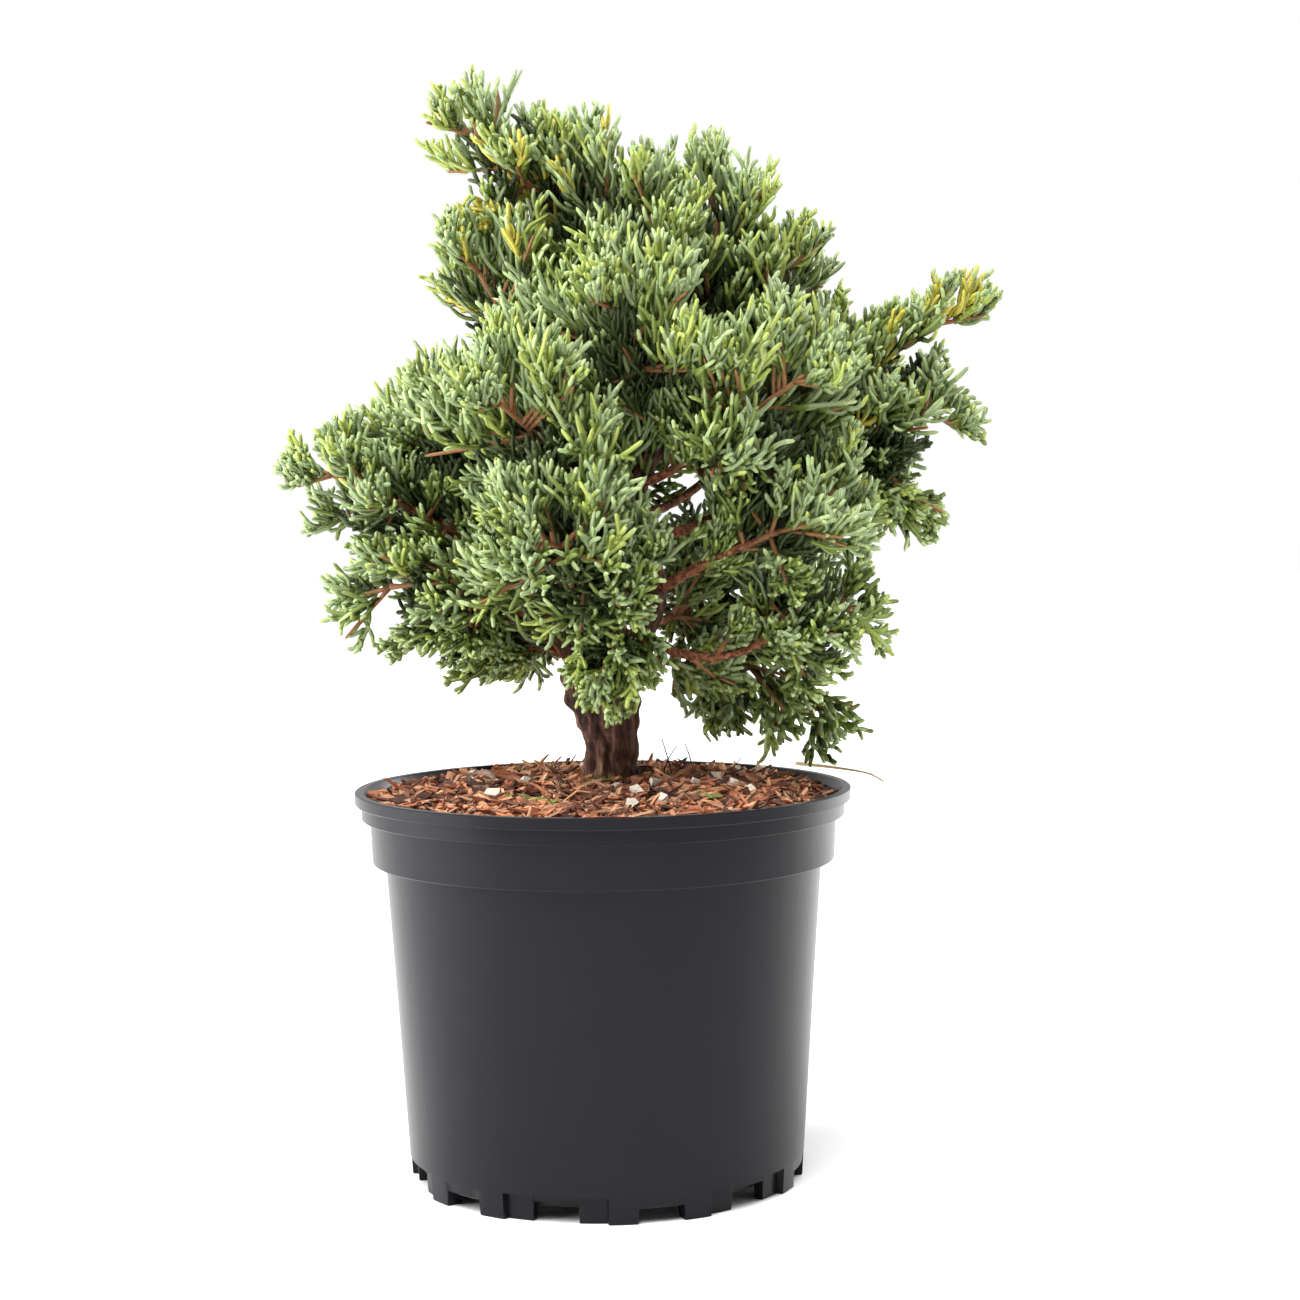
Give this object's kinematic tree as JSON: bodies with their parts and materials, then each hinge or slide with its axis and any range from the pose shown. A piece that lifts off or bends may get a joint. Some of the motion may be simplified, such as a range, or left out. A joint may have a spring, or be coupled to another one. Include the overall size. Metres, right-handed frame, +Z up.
{
  "type": "potted juniper",
  "caption": "Small bonsai-like juniper shrub with a forked trunk and dense scale-leaved foliage, growing in bark mulch in a round black plastic nursery pot",
  "frame": {"origin": "on the ground, under the middle of the whole plant's box", "axes": "+Z up along the pot's axis; +X to the right and -Y to the front, as the picture shows the plant"},
  "size_m": [0.273, 0.215, 0.4188],
  "materials": {
    "pot": "satin black moulded plastic",
    "soil": "loose bark mulch, matt",
    "bark": "fibrous flaking bark, matt",
    "young_bark": "thin orange-brown bark, matt",
    "foliage": "scale leaves, matt with a faint bloom"
  },
  "bodies": {
    "root": {"pot": "pot", "soil": "soil", "trunk": "bark", "left_stem": "bark", "right_stem": "bark", "ridge_bough": "young_bark", "upper_middle_bough": "young_bark", "upper_left_bough": "young_bark", "left_middle_bough": "young_bark", "left_arm": "young_bark", "low_left_bough": "young_bark", "left_skirt_bough": "young_bark", "rear_top_bough": "young_bark", "rear_left_bough": "young_bark", "rear_middle_bough": "young_bark", "rear_low_left_bough": "young_bark", "low_right_bough": "young_bark", "middle_right_bough": "young_bark", "right_arm": "young_bark", "rear_right_bough": "young_bark", "rear_low_right_bough": "young_bark", "right_skirt_bough": "young_bark", "top_right_bough": "young_bark", "front_right_bough": "young_bark", "front_upper_bough": "young_bark", "front_left_bough": "young_bark", "front_low_bough": "young_bark", "front_skirt_bough": "young_bark", "shoulder_bough": "young_bark", "right_tip_bough": "young_bark", "right_droop_bough": "young_bark", "top_left_plume": "foliage", "ridge_mass": "foliage", "upper_middle_mass": "foliage", "upper_left_mass": "foliage", "left_middle_mass": "foliage", "left_tip_mass": "foliage", "low_left_mass": "foliage", "left_skirt": "foliage", "rear_top_mass": "foliage", "rear_left_mass": "foliage", "rear_middle_mass": "foliage", "rear_low_left_mass": "foliage", "low_right_mass": "foliage", "middle_right_mass": "foliage", "right_arm_mass": "foliage", "rear_right_mass": "foliage", "rear_low_right_mass": "foliage", "right_skirt": "foliage", "top_right_mass": "foliage", "right_shoulder": "foliage", "front_right_mass": "foliage", "front_upper_mass": "foliage", "front_left_mass": "foliage", "front_low_mass": "foliage", "front_skirt": "foliage", "right_tip": "foliage", "right_droop": "foliage", "top_centre_mass": "foliage"}
  },
  "joints": []
}
